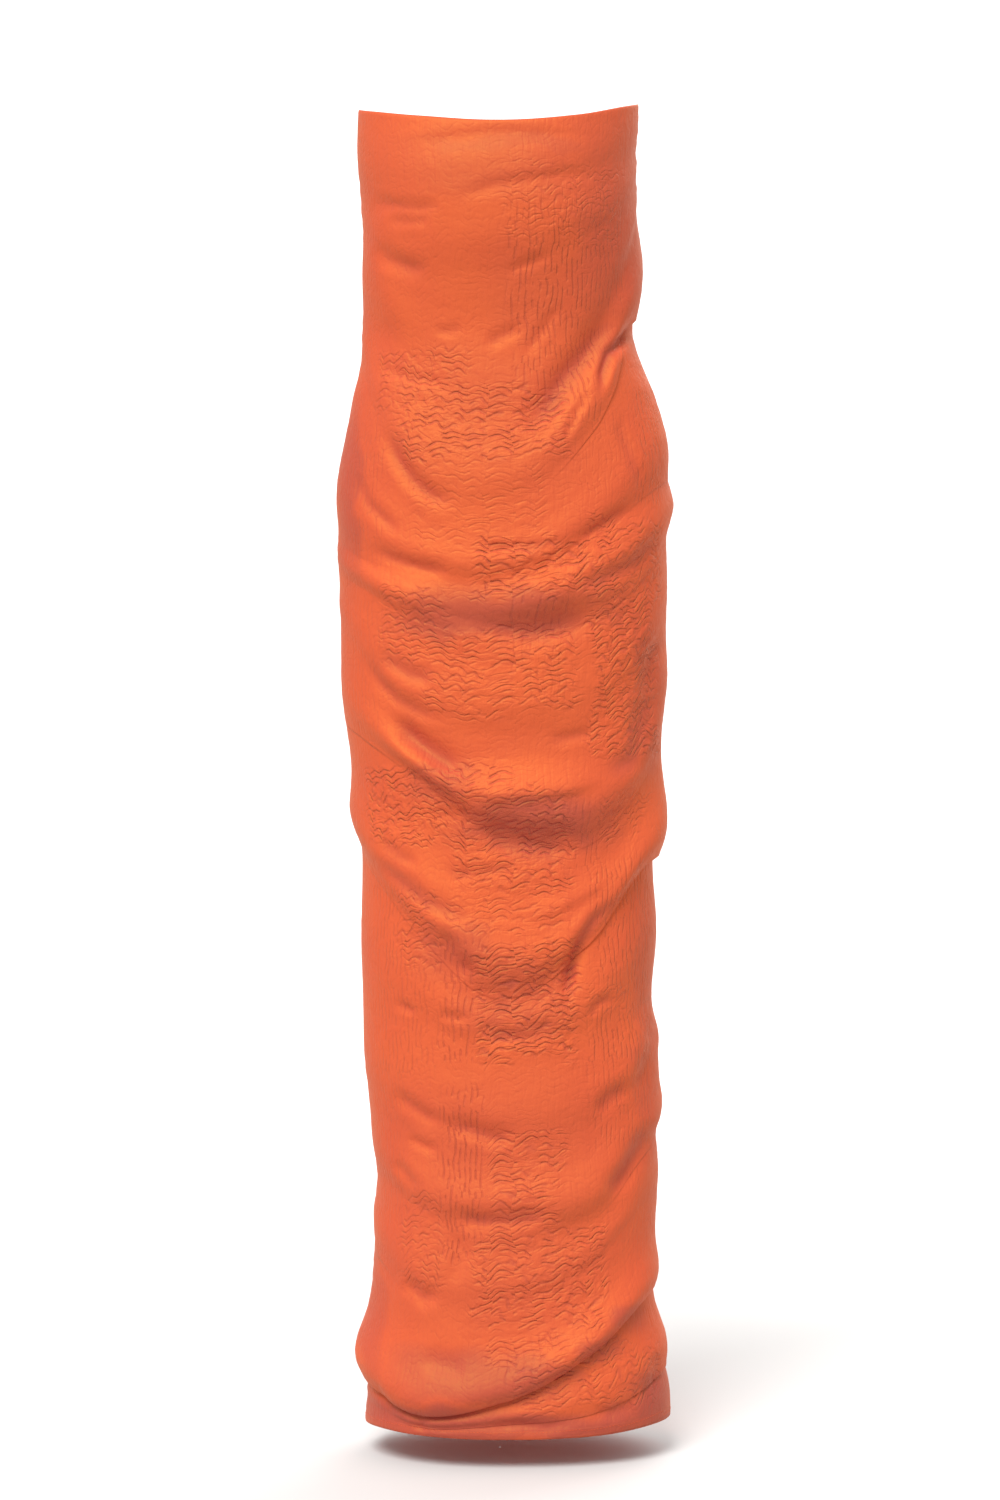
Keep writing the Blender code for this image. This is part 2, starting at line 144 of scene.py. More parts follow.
# Creases of the front, each along points given as across and height: how deep the trough is
# (a ridge where it is below 0), and how wide on its upper or left side and on the other
CREASES = [
    (((-107, -25), (-54, -18), (0, -13), (53, -15), (96, -13)), 1.8, 6, 12),
    (((-133, -70), (-107, -81), (-80, -87), (-54, -83)), 2.2, 6, 7),
    (((-54, -83), (-11, -68), (53, -57), (106, -47)), 1.7, 6, 7),
    (((-116, -94), (-90, -100), (-65, -100)), 1.7, 5, 5),
    (((-127, -113), (-112, -134), (-86, -145), (-68, -148)), 2.8, 7, 8),
    (((4, -154), (21, -145), (38, -139), (53, -130)), 1.8, 5, 5),
    (((-128, -80), (-120, -143), (-106, -186), (-86, -215)), -2.2, 13, 13),
    (((-67, -207), (-50, -209), (-36, -202)), 1.8, 5, 5),
    (((-18, -224), (4, -213), (24, -203)), 2.5, 6, 6),
    (((64, -177), (38, -213), (21, -239)), 2.0, 5, 5),
    (((128, -175), (96, -218), (64, -256), (34, -303), (18, -318)), 6.3, 15, 12),
    (((136, -180), (126, -207), (109, -228), (102, -248), (99, -280)), 7.0, 5, 5),
    (((86, -268), (78, -287), (67, -309), (66, -326)), 2.5, 4, 5),
    (((123, -285), (121, -306), (130, -330), (143, -372)), 2.1, 5, 5),
    (((-125, -238), (-94, -252), (-70, -257), (-49, -261)), 2.2, 5, 6),
    (((-115, -300), (-103, -335), (-87, -358), (-66, -375), (-40, -382)), 4.5, 8, 7),
    (((-147, -345), (-132, -380), (-113, -398), (-97, -415)), 2.8, 6, 6),
    (((-134, -420), (-106, -436), (-77, -445), (-42, -450)), 3.1, 8, 6),
    (((-28, -422), (5, -427), (41, -423), (67, -419)), 2.2, 5, 5),
    (((76, -419), (100, -403), (136, -380)), 2.5, 6, 6),
    (((64, -469), (100, -457), (135, -438), (165, -402)), 4.2, 10, 8),
    (((-90, -480), (-40, -492), (5, -504), (35, -507), (70, -499), (115, -484)), 7.7, 24, 13),
    (((-125, -526), (-106, -542), (-89, -552), (-60, -560)), 3.6, 9, 7),
    (((-136, -531), (-120, -560), (-103, -577), (-76, -591), (-49, -602)), 3.1, 8, 6),
    (((-107, -588), (-91, -613), (-71, -629), (-49, -644), (-28, -655)), 6.3, 12, 8),
    (((-40, -662), (-2, -672), (36, -669), (69, -664), (105, -652)), -4.9, 22, 7),
    (((-30, -700), (10, -718), (45, -722), (85, -708)), 7.0, 26, 16),
    (((98, -658), (132, -636), (147, -591), (159, -557)), 5.6, 12, 10),
    (((168, -505), (153, -540), (146, -577)), 4.2, 8, 8),
    (((49, -618), (76, -613), (98, -607)), 2.2, 6, 6),
    (((-69, -687), (-49, -694), (-35, -690)), 2.2, 6, 6),
    (((-120, -714), (-98, -734), (-76, -743)), 2.5, 6, 6),
    (((-60, -743), (-42, -752), (-9, -749), (25, -745)), 2.8, 6, 6),
    (((-125, -729), (-103, -754), (-76, -776), (-49, -790), (-20, -800)), 4.2, 10, 7),
    (((20, -792), (50, -787), (85, -768), (115, -745)), -3.5, 16, 8),
    (((119, -770), (92, -797), (79, -819), (72, -842), (68, -864), (68, -893)), 5.6, 7, 6),
    (((-62, -802), (-48, -824), (-38, -842), (-15, -848)), 4.9, 9, 8),
    (((-30, -905), (0, -914), (40, -912), (62, -902)), 4.2, 14, 7),
    (((-104, -880), (-95, -886), (-84, -892)), 2.2, 5, 5),
    (((-62, -890), (-45, -894), (-28, -895)), 2.2, 5, 5),
    (((88, -897), (97, -881), (116, -874)), 2.5, 5, 5),
    (((137, -982), (146, -958), (155, -924), (152, -895)), 3.5, 8, 8),
    (((-109, -969), (-93, -982), (-71, -996), (-53, -1003)), 3.1, 7, 7),
    (((-62, -998), (-35, -1006), (-8, -1014), (22, -1016)), 4.5, 11, 8),
    (((97, -996), (108, -977), (132, -963)), 3.6, 8, 8),
    (((-95, -1016), (-75, -1025), (-60, -1027)), 2.2, 5, 5),
    (((-106, -1040), (-91, -1056), (-80, -1069)), 2.8, 6, 6),
    (((104, -1078), (126, -1052), (141, -1025), (154, -1000)), 5.9, 13, 9),
    (((-58, -1091), (-20, -1097), (20, -1096), (62, -1088)), 5.6, 12, 8),
    (((-47, -1100), (-38, -1130), (-47, -1165)), 2.5, 8, 8),
    (((-98, -1157), (-77, -1176), (-57, -1167)), 3.6, 9, 8),
    (((-80, -1234), (-55, -1242), (-30, -1248)), 3.1, 14, 8),
    (((-118, -1262), (-112, -1280), (-106, -1300)), 2.2, 5, 5),
    (((-84, -1290), (-78, -1300), (-80, -1310)), 2.2, 5, 5),
    (((-20, -1303), (15, -1299), (45, -1303), (80, -1297)), 2.6, 6, 5),
    (((88, -1288), (112, -1292), (140, -1284)), 2.4, 6, 6),
    (((150, -1235), (156, -1255), (150, -1275)), 2.6, 7, 6),
]
SHOULDER = 0.15             # share of a trough's depth that its banks rise, this many widths out
SHOULDER_PLACE = 2
CREASE_REACH = 3.5          # widths out from a crease where nothing of it is left
CREASE_ENDS = 0.3           # share of its length over which each end dies out
SEAM_FADE = 26.0            # creases die out this near a seam
BACK_SHIFT = (4, -19)       # the back's creases are the front's, turned about and moved this far

# What the mesh keeps at each point, besides its place
PUCKER, PLEAT = "pucker", "pleat"
PAINTED_SHADE = "painted_shade"           # painted shade: a darker rosy red in the colour between the folds, where the cloth turns from the light
EDGE = "edge"               # distance over the cloth to its hem

# Patches of puckers, of pleats and of painted shade (a darker rosy red) on the front: across and height of
# the middle, width, length, strength
PUCKERS = [
    (62, -82, 115, 75, 0.5),
    (-75, -254, 90, 55, 0.7),
    (-15, -300, 175, 80, 1.0),
    (-22, -378, 130, 110, 0.4),
    (45, -446, 150, 60, 1.2),
    (127, -438, 70, 80, 0.8),
    (-88, -500, 75, 85, 0.8),
    (0, -545, 150, 90, 0.9),
    (124, -550, 70, 160, 1.1),
    (-60, -682, 145, 80, 1.0),
    (15, -717, 120, 100, 1.0),
    (124, -692, 50, 50, 0.7),
    (10, -791, 120, 40, 0.7),
    (28, -880, 105, 120, 1.2),
    (-80, -804, 40, 75, 0.8),
    (104, -881, 45, 35, 0.5),
    (25, -1055, 75, 100, 0.9),
    (-78, -1125, 40, 100, 0.6),
    (40, -1155, 135, 95, 0.9),
    (60, -1229, 150, 40, 0.6),
    (85, -1256, 150, 56, 0.8),
]
PLEATS = [
    (45, -150, 75, 130, 0.9),
    (92, -125, 60, 120, 0.7),
    (58, -247, 85, 95, 0.7),
    (151, -319, 30, 120, 0.8),
    (-134, -369, 40, 140, 0.4),
    (35, -530, 60, 110, 0.8),
    (-95, -856, 60, 190, 0.6),
    (-40, -876, 45, 120, 0.9),
    (124, -841, 60, 210, 0.8),
    (85, -712, 35, 70, 0.6),
    (-111, -1030, 35, 150, 0.4),
    (-40, -1055, 45, 170, 0.9),
    (121, -956, 60, 150, 0.6),
    (30, -1242, 60, 60, 0.7),
    (104, -329, 70, 90, 0.3),
    (-134, -548, 35, 130, 0.4),
]
# Patches of painted shade: a darker rosy red under the folds' lips, along the top edge and on the side
# turned from the light
PAINTED_SHADE_PATCHES = [
    (0, -42, 230, 66, 0.3),
    (10, -23, 200, 20, 0.5),
    (122, -95, 95, 210, 0.55),
    (45, -175, 110, 110, 0.2),
    (-152, -367, 22, 190, 0.7),
    (-10, -492, 170, 48, 0.9),
    (75, -482, 110, 38, 0.4),
    (150, -583, 36, 150, 0.5),
    (38, -697, 150, 56, 1.0),
    (-62, -660, 60, 46, 0.5),
    (-45, -828, 70, 50, 0.5),
    (15, -872, 110, 80, 0.4),
    (150, -920, 32, 320, 0.4),
    (-20, -1252, 180, 48, 0.95),
    (-70, -1298, 200, 40, 1.2),
    (70, -1302, 220, 30, 1.15),
    (160, -1290, 50, 60, 1.2),
    (12, -1272, 60, 20, 0.7),
    (58, -1246, 56, 24, 0.8),
    (97, -1222, 50, 26, 0.8),
    (130, -1200, 34, 30, 0.8),
    (-10, -1088, 250, 300, 0.28),
    (-20, -290, 240, 150, 0.18),
    (-130, -1200, 26, 150, 0.5),
]
PAINTED_SHADE_DEPTH = 8.0          # depth of trough that gets the full painted shade
PAINTED_SHADE_TONE = 0.8           # share of the rosy red painted shade there, and in the lines of the crinkle
CREASE_PAINTED_SHADE = 0.3

# The back's patches, one below the other in columns that overlap
BACK_PATCH_COLUMN = 48.0
BACK_PATCH_OVERLAP = 0.85   # distance from column to column, as a share of their width
BACK_PATCH_COLUMNS = 4
BACK_PATCH_FIRST = 22       # the first column's middle
BACK_PATCH_TOP = -30.0
BACK_PATCH_START = 40       # the first patch starts up to this far below that
BACK_PATCH_BOTTOM = -1290
BACK_PATCH_LENGTH = 95.0
BACK_PATCH_STRETCH = (0.5, 1.5)
BACK_PATCH_BREAK = 25
BACK_PATCH_PUCKERS = 0.55   # share of the patches that are puckers
BACK_PATCH_SHOWN = 0.7      # share of them that is strong, how strong, and how faint the rest is
BACK_PATCH_STRENGTH = (0.4, 1.0)
BACK_PATCH_FAINT = 0.1
BACK_PATCH_SEEDS = {1: 41, -1: 42}

PATCH_EDGE = 12.0
FAINTEST = 0.15             # crinkle between the patches
PLEATS_LOST = 0.8           # share of the pleats that gives way to puckers
PAINTED_SHADE_SEED = 61

# How far the edges of patches and of the painted shade wander across and along, and over what sizes
PATCH_WANDER = ((7, 30, 22), (9, 26, 30))
PAINTED_SHADE_WANDER = ((8, 24, 24), (8, 30, 20))

# The crinkle that the mesh holds
COLUMN_WIDTH = 20.0
COLUMN_SEED = 20
PUCKER_SPACING = 15.6
PUCKER_BOW = 0.3            # share of the spacing by which a row bows in each column
PUCKER_HEIGHT = 0.4
PLEAT_SPACING = 8.0
PLEAT_DRIFT = 0.8
PLEAT_POWER = 0.6           # sharpens the valleys between pleats
PLEAT_MEAN = 0.7
PLEAT_HEIGHT = 0.3
PLEAT_UNEVEN = 0.4          # share by which that varies
ROUGH_HEIGHT = 0.55
ROUGH_DETAIL = 0.4          # share of it that is finer
LEAST_ROUGH = 0.35          # share of the roughness between the patches
GATHER_SPACING = 19.0
GATHER_REACH = 24.0
GATHER_HEIGHT = 0.3
GATHER_SLANT = 0.4
GATHER_DRIFT = 9
TOP_FADE = 12               # the crinkle dies out this near the top edge and the hem
HEM_FADE = 10
CLOTH_NOISES = {            # size across and along, and seed
    "pucker drift": (30, 45, 22),
    "pleat drift": (40, 120, 24),
    "pleat height": (8, 50, 25),
    "rough": (19, 15, 26),
    "rough detail": (9, 8, 27),
    "gather drift": (60, 55, 28),
    "gather share": (80, 38, 29),
}

# The crinkle's lines, drawn as bump: length and spacing, bow and drift as shares of the
# spacing, and bumps to the metre of the noise that breaks them
PUCKER_LINES = (0.017, 0.0078, 0.24, 3.0, (60.0, 70.0))
PLEAT_LINES = (0.03, 0.0062, 0.05, 1.5, (130.0, 66.0))
LINE_WANDER = (28.0, 28.0)
LINE_WIDTH = 0.8
LINE_BREAKS = (0.36, 0.54)
VALLEYS = (48.0, 105.0)     # the fainter valleys among the puckers, in bumps to the metre
VALLEY_WIDTH = 0.1
VALLEY_SHARE = 0.4

# Depths of the satin's bumps, in metres
PUCKER_DEPTH = 0.0009
PLEAT_DEPTH = 0.0009
CRUMPLE_DEPTH = 0.0012
HEM_DEPTH = 0.0005
WEAVE_DEPTH = 0.00005

# The zip's enamel, with a slight orange peel, and the stage's matt paper: name, colour, bumps to
# the metre, strength and depth of the grain, and roughness where it is low and high
ENAMEL = ("painted_zip_metal", "DC5C38", 1250.0, 0.3, 0.00005, 0.28, 0.42)
PAPER = ("paper", "E4E3E1", 400.0, 0.1, 0.0002, 0.9, 0.9)

# Edges: how the turned cloth rolls in at the top and hem, the hem's depth, and its stitches
EDGE_ROLL = 0.7
EDGE_ROLL_WIDTH = 4.0
HEM = 9.0
HEM_STEP = 0.8              # over this the turned cloth ends
HEM_STITCH_LINE = 7.5
STITCH = (0.38, 0.38, 2.5)
STITCH_PITCH = 3.3
STITCH_RISE = 0.12

# Zip: where its teeth run, their pitch and size, and where the tapes are stitched down
ZIP_TOP = -26.0
ZIP_BOTTOM = -440.0
ZIP_SLIT = 0.3              # gap between the back panels over the teeth, and at the slider
SLIDER_SLIT = 2.0
ZIP_END_LENGTH = 8          # the gap opens from the zip's end over this height
SLIDER_END = -27            # and once more from here, over the height below
SLIDER_END_LENGTH = 11
ZIP_PATH_STEP = 4.0
TOOTH = (2.3, 1.3, 1.0)
TOOTH_PITCH = 1.5
TOOTH_STAGGER = 0.35
TAPE_DEPTH = 0.8
TAPE_GAP = 0.4
TAPE_STITCH_LINE = 8.0


def linear(colour):
    """An sRGB hex colour as linear red, green, blue and alpha."""
    channels = []
    for i in (0, 2, 4):
        value = int(colour[i:i + 2], 16) / 255
        channels.append(value / 12.92 if value <= 0.04045 else ((value + 0.055) / 1.055) ** 2.4)
    return (*channels, 1.0)


def fill(tree, item, links):
    """Give each named socket of a node a value, or another node's output."""
    for socket, source in links.items():
        if isinstance(source, bpy.types.NodeSocket):
            tree.links.new(source, item.inputs[socket])
        else:
            item.inputs[socket].default_value = source


def add(tree, kind, links, **settings):
    """Add a node with its settings and links, and return its first output."""
    item = tree.nodes.new(kind)
    for name, value in settings.items():
        setattr(item, name, value)
    fill(tree, item, links)
    return item.outputs[0]


def new_material(name):
    """A new material, its node tree and its shader."""
    material = bpy.data.materials.new(name)
    material.use_nodes = True
    tree = material.node_tree
    return material, tree, tree.nodes["Principled BSDF"]


def smoothstep(share):
    """A soft step from 0 to 1."""
    share = np.clip(share, 0.0, 1.0)
    return share * share * (3 - 2 * share)


def curve_through(places, values, at):
    """A smooth curve through values at rising places."""
    places, values = np.asarray(places, float), np.asarray(values, float)
    at = np.clip(at, places[0], places[-1])
    i = np.clip(np.searchsorted(places, at, side="right") - 1, 0, len(places) - 2)
    slope = np.empty_like(values)
    slope[1:-1] = (values[2:] - values[:-2]) / (places[2:] - places[:-2])
    slope[0] = (values[1] - values[0]) / (places[1] - places[0])
    slope[-1] = (values[-1] - values[-2]) / (places[-1] - places[-2])
    span = places[i + 1] - places[i]
    t = (at - places[i]) / span
    return ((1 + 2 * t) * (1 - t) ** 2 * values[i] + t * (1 - t) ** 2 * span * slope[i]
            + t * t * (3 - 2 * t) * values[i + 1] - t * t * (1 - t) * span * slope[i + 1])


def noise(u, v, seed, tile=64):
    """Smooth seeded noise from -1 to 1, with one bump for each unit."""
    table = np.random.default_rng(seed).uniform(-1, 1, (tile, tile))
    i, j = np.floor(u).astype(int), np.floor(v).astype(int)
    s, t = smoothstep(u - i), smoothstep(v - j)
    low = table[i % tile, j % tile] * (1 - s) + table[(i + 1) % tile, j % tile] * s
    high = table[i % tile, (j + 1) % tile] * (1 - s) + table[(i + 1) % tile, (j + 1) % tile] * s
    return low * (1 - t) + high * t


def around(angle, left, front, right, back):
    """Blend four values round the body; 0 degrees is the front and 90 the right seam."""
    side = np.where(angle > 0, right, left)
    turn = np.abs(angle)
    near = front + (side - front) * smoothstep(turn / 90)
    far = side + (back - side) * smoothstep((turn - 90) / 90)
    return np.where(turn <= 90, near, far)


def line_height(line, angle):
    """Height of an edge or a gather line at each angle."""
    side = np.where(angle > 0, line[6], line[0])
    behind = side + (line[7] - side) * smoothstep((np.abs(angle) - 90) / 90)
    return np.where(np.abs(angle) <= 90, curve_through(FRONT_ANGLES, line[:7], angle), behind)


def figure_points(angle, height):
    """Points of the figure and their level outward directions."""
    rising = np.array(SECTIONS[::-1], float)
    left, right, front, back = (curve_through(rising[:, 0], rising[:, k], height) for k in (1, 2, 3, 4))
    across = np.where(angle > 0, right, left)
    along = np.where(np.abs(angle) <= 90, front, back)
    sine, cosine = np.sin(np.radians(angle)), np.cos(np.radians(angle))
    power, steep = 2 / SECTION_POWER, SECTION_POWER - 1
    x = across * np.sign(sine) * np.abs(sine) ** power
    y = -along * np.sign(cosine) * np.abs(cosine) ** power
    out_x = np.sign(x) * np.abs(x / across) ** steep / across
    out_y = np.sign(y) * np.abs(y / along) ** steep / along
    length = np.hypot(out_x, out_y)
    return x, y, out_x / length, out_y / length


def seam_reach(angle):
    """Distance over the cloth from the nearest side seam."""
    return np.abs(np.abs(angle) - 90) * ARC_PER_DEGREE


def fold_rows(angle):
    """How far each row of cloth stands out and its height, from the top edge to the hem."""
    outs, heights = [np.zeros_like(angle)], [line_height(TOP_EDGE, angle)]
    upper = heights[0]
    for number, (line, puffs, tucks, belly) in enumerate(FOLDS):
        lower = line_height(line, angle)
        tuck = around(angle, *tucks, BACK_TUCK * tucks[0])
        tuck = tuck * (SEAM_TUCK + (1 - SEAM_TUCK) * smoothstep(seam_reach(angle) / SEAM_FADE))
        along = angle / UNEVEN_SPAN + FOLD_SHIFT * number
        uneven = 1 + UNEVEN * noise(along, angle * 0, FOLD_SEED + number)
        puff = around(angle, *puffs) * uneven
        bend = math.log(0.5) / math.log(belly)
        count = max(4, round(float(np.mean(upper - lower)) / ROW_SPACING))
        for row in range(1, count + 1):
            share = row / count
            swell = abs(math.sin(math.pi * share ** bend)) ** (1 + SOFT_POWER * (1 - tuck))
            outs.append(puff * (swell + LIP_SHARE * tuck * share ** LIP_ROUNDING))
            heights.append(upper + (lower - upper) * share)
        if number < len(FOLDS) - 1:
            lip, crevice = outs[-1], lower + SOFT_SHELF + (TUCKED_SHELF - SOFT_SHELF) * tuck
            for row in range(1, CURL_ROWS + 1):
                t = row / CURL_ROWS
                bulge = 2 * t * (1 - t)
                outs.append((1 - t) ** 2 * lip + bulge * LIP_FULLNESS * lip)
                turned = (1 - t) ** 2 * lower + bulge * (lower - LEAST_DROP - LIP_DROP * tuck)
                heights.append(turned + t * t * crevice)
            upper = crevice
    return np.array(outs), np.array(heights)


def crease_lift(x, z, creases):
    """How far creases push the cloth out at each point."""
    lift = np.zeros_like(x)
    for points, depth, above, below in creases:
        points = np.array(points, float)
        (x_low, z_low), (x_high, z_high) = points.min(axis=0), points.max(axis=0)
        margin = CREASE_REACH * max(above, below)
        near = (x > x_low - margin) & (x < x_high + margin) & (z > z_low - margin) & (z < z_high + margin)
        px, pz = x[near], z[near]
        nearest = np.full(px.shape, np.inf)
        side, along = np.zeros_like(px), np.zeros_like(px)
        before = 0.0
        for start, end in zip(points[:-1], points[1:]):
            dx, dz = end - start
            length = math.hypot(dx, dz)
            share = np.clip(((px - start[0]) * dx + (pz - start[1]) * dz) / length ** 2, 0, 1)
            off_x, off_z = px - start[0] - share * dx, pz - start[1] - share * dz
            distance = np.hypot(off_x, off_z)
            closer = distance < nearest
            nearest = np.where(closer, distance, nearest)
            side = np.where(closer, dx * off_z - dz * off_x, side)
            along = np.where(closer, before + share * length, along)
            before += length
        share = along / before
        ends = smoothstep(share / CREASE_ENDS) * smoothstep((1 - share) / CREASE_ENDS)
        place = nearest / np.where(side > 0, above, below)
        shape = np.exp(-place ** 2) - SHOULDER * np.exp(-(place - SHOULDER_PLACE) ** 2)
        lift[near] -= depth * ends * shape
    return lift


def turned_creases():
    """The back's creases: the front's, seen from behind and moved along."""
    return [([(BACK_SHIFT[0] - x, z + BACK_SHIFT[1]) for x, z in points[::-1]], *shape)
            for points, *shape in CREASES]


def wander(x, z, sizes, seed):
    """Places moved about a little, so that the edges drawn from them are uneven."""
    (far, across, along), (far_z, across_z, along_z) = sizes
    x = x + far * noise(x / across, z / along, seed)
    return x, z + far_z * noise(x / across_z, z / along_z, seed + 1)


def patch_masks(x, z, patches, seed):
    """How strongly each kind of crinkle shows at each point."""
    masks = {PUCKER: np.full_like(x, FAINTEST), PLEAT: np.full_like(x, FAINTEST)}
    x, z = wander(x, z, PATCH_WANDER, seed)
    for kind, places in patches.items():
        for across, height, width, length, strength in places:
            inside = smoothstep((width / 2 - np.abs(x - across)) / PATCH_EDGE + 0.5)
            inside = inside * smoothstep((length / 2 - np.abs(z - height)) / PATCH_EDGE + 0.5)
            masks[kind] = np.maximum(masks[kind], strength * inside)
    return masks


def painted_shade_mask(x, z, lift, shade_patches):
    """How much painted shade each point gets, from 0 to 1: more in the troughs between the folds and in the
    listed patches.
    """
    x, z = wander(x, z, PAINTED_SHADE_WANDER, PAINTED_SHADE_SEED)
    mask = np.clip(-lift / PAINTED_SHADE_DEPTH, 0, 1)
    for across, height, width, length, strength in shade_patches:
        near = np.exp(-(2 * (x - across) / width) ** 4 - (2 * (z - height) / length) ** 4)
        mask = np.maximum(mask, strength * near)
    return mask


def back_patches(side):
    """Patches of crinkle for a back panel, in columns, as uneven as the front's."""
    rng = np.random.default_rng(BACK_PATCH_SEEDS[side])
    patches = {PUCKER: [], PLEAT: []}
    for column in range(BACK_PATCH_COLUMNS):
        across = side * (BACK_PATCH_FIRST + BACK_PATCH_COLUMN * column * BACK_PATCH_OVERLAP)
        height = BACK_PATCH_TOP - rng.uniform(0, BACK_PATCH_START)
        while height > BACK_PATCH_BOTTOM:
            length = BACK_PATCH_LENGTH * rng.uniform(*BACK_PATCH_STRETCH)
            kind = PUCKER if rng.random() < BACK_PATCH_PUCKERS else PLEAT
            shown = rng.random() < BACK_PATCH_SHOWN
            strength = rng.uniform(*BACK_PATCH_STRENGTH) if shown else BACK_PATCH_FAINT
            patches[kind].append((across, height - length / 2, BACK_PATCH_COLUMN, length, strength))
            height -= length + rng.uniform(0, BACK_PATCH_BREAK)
    return patches


def crinkle(u, v, masks, angle):
    """Height of the crinkles over the smooth folds."""
    bumps = {name: noise(u / across, v / along, seed)
             for name, (across, along, seed) in CLOTH_NOISES.items()}
    column = u / COLUMN_WIDTH
    shift = np.random.default_rng(COLUMN_SEED).uniform(0, 1, 64)[np.floor(column).astype(int) % 64]
    rows = v / PUCKER_SPACING + PUCKER_BOW * np.cos(2 * np.pi * column) + shift + bumps["pucker drift"]
    pucker = np.sin(2 * np.pi * rows)
    lines = u / PLEAT_SPACING + PLEAT_DRIFT * bumps["pleat drift"]
    pleat = np.abs(np.sin(np.pi * lines)) ** PLEAT_POWER - PLEAT_MEAN
    pleat = pleat * (1 - PLEAT_UNEVEN + PLEAT_UNEVEN * bumps["pleat height"])
    rough = (1 - ROUGH_DETAIL) * bumps["rough"] + ROUGH_DETAIL * bumps["rough detail"]
    strength = LEAST_ROUGH + (1 - LEAST_ROUGH) * np.maximum(masks[PUCKER], masks[PLEAT])
    height = PUCKER_HEIGHT * pucker * masks[PUCKER] + PLEAT_HEIGHT * pleat * masks[PLEAT]
    height += ROUGH_HEIGHT * rough * strength
    reach = seam_reach(angle)
    turn = 2 * np.pi * (v + GATHER_SLANT * reach) / GATHER_SPACING
    gathers = np.sin(turn + GATHER_DRIFT * bumps["gather drift"])
    gathers = gathers * smoothstep(0.5 + bumps["gather share"])
    return height + GATHER_HEIGHT * np.exp(-reach / GATHER_REACH) * gathers


def grid_normals(grid, seam_axes):
    """Outward directions of a grid of points; seam columns stay in their seam's plane."""
    down = np.gradient(grid, axis=0)
    across = np.gradient(grid, axis=1)
    normals = np.cross(down, across)
    normals[:, 0, seam_axes[0]] = 0
    normals[:, -1, seam_axes[1]] = 0
    normals[0, :, 2] = 0
    normals[-1, :, 2] = 0
    return normals / np.linalg.norm(normals, axis=2, keepdims=True)


def slit_half_width(height):
    """Half the gap between the back panels: wider round the slider's neck."""
    slit = SEAM_GAP + (ZIP_SLIT - SEAM_GAP) * smoothstep((height - ZIP_BOTTOM) / ZIP_END_LENGTH)
    wider = (SLIDER_SLIT - ZIP_SLIT) * smoothstep((height - SLIDER_END) / SLIDER_END_LENGTH)
    return (slit + wider) / 2


def part_edges(grid, ends, sides):
    """Put a panel's first and last column on their sides of the seams."""
    for column, angle, side in zip((0, -1), ends, sides):
        if abs(angle) == 180:
            grid[:, column, 0] = side * slit_half_width(grid[:, column, 2])
        else:
            grid[:, column, 1] = side * SEAM_GAP / 2


def panel_points(ends, columns, sides, creases, patches, shade_patches, seed):
    """The smooth and the dressed outer side of a panel, its cloth coordinates and its masks."""
    angles = np.linspace(*ends, columns + 1)
    outs, heights = fold_rows(angles)
    angle = np.broadcast_to(angles, outs.shape)
    x, y, out_x, out_y = figure_points(angle, heights)
    clear = smoothstep(seam_reach(angle) / SEAM_FADE)
    clear = clear * smoothstep((180 - np.abs(angle)) * ARC_PER_DEGREE / SEAM_FADE)
    pushed = clear * crease_lift(x, heights, creases)
    outs = outs + pushed
    outer = np.stack([x + outs * out_x, y + outs * out_y, heights], axis=2)
    part_edges(outer, ends, sides)
    seam_axes = [0 if abs(edge) == 180 else 1 for edge in ends]
    steps = np.linalg.norm(np.diff(outer, axis=0), axis=2)
    v = np.vstack([np.zeros(columns + 1), np.cumsum(steps, axis=0)])
    u = angle * ARC_PER_DEGREE
    masks = patch_masks(outer[:, :, 0], outer[:, :, 2], patches, seed)
    masks = {kind: mask * clear for kind, mask in masks.items()}
    masks[PLEAT] = masks[PLEAT] * (1 - PLEATS_LOST * np.clip(masks[PUCKER], 0, 1))
    # Painted shade from the creases' troughs and the patches of shade
    masks[PAINTED_SHADE] = painted_shade_mask(outer[:, :, 0], heights, pushed, shade_patches)
    masks[EDGE] = (v[-1] - v) * MM
    lift = crinkle(u, v, masks, angle)
    lift = lift * smoothstep(v / TOP_FADE) * smoothstep((v[-1] - v) / HEM_FADE)
    to_edge = np.minimum(v, v[-1] - v)
    lift -= EDGE_ROLL * np.clip(1 - to_edge / EDGE_ROLL_WIDTH, 0, 1) ** 2
    to_seam = np.minimum(angle - ends[0], ends[1] - angle) * ARC_PER_DEGREE
    lift -= SEAM_ROLL * np.clip(1 - to_seam / SEAM_ROLL_WIDTH, 0, 1)
    normals = grid_normals(outer, seam_axes)
    dressed = outer + normals * lift[:, :, None]
    part_edges(dressed, ends, sides)
    return angles, outer, dressed, u, v, masks


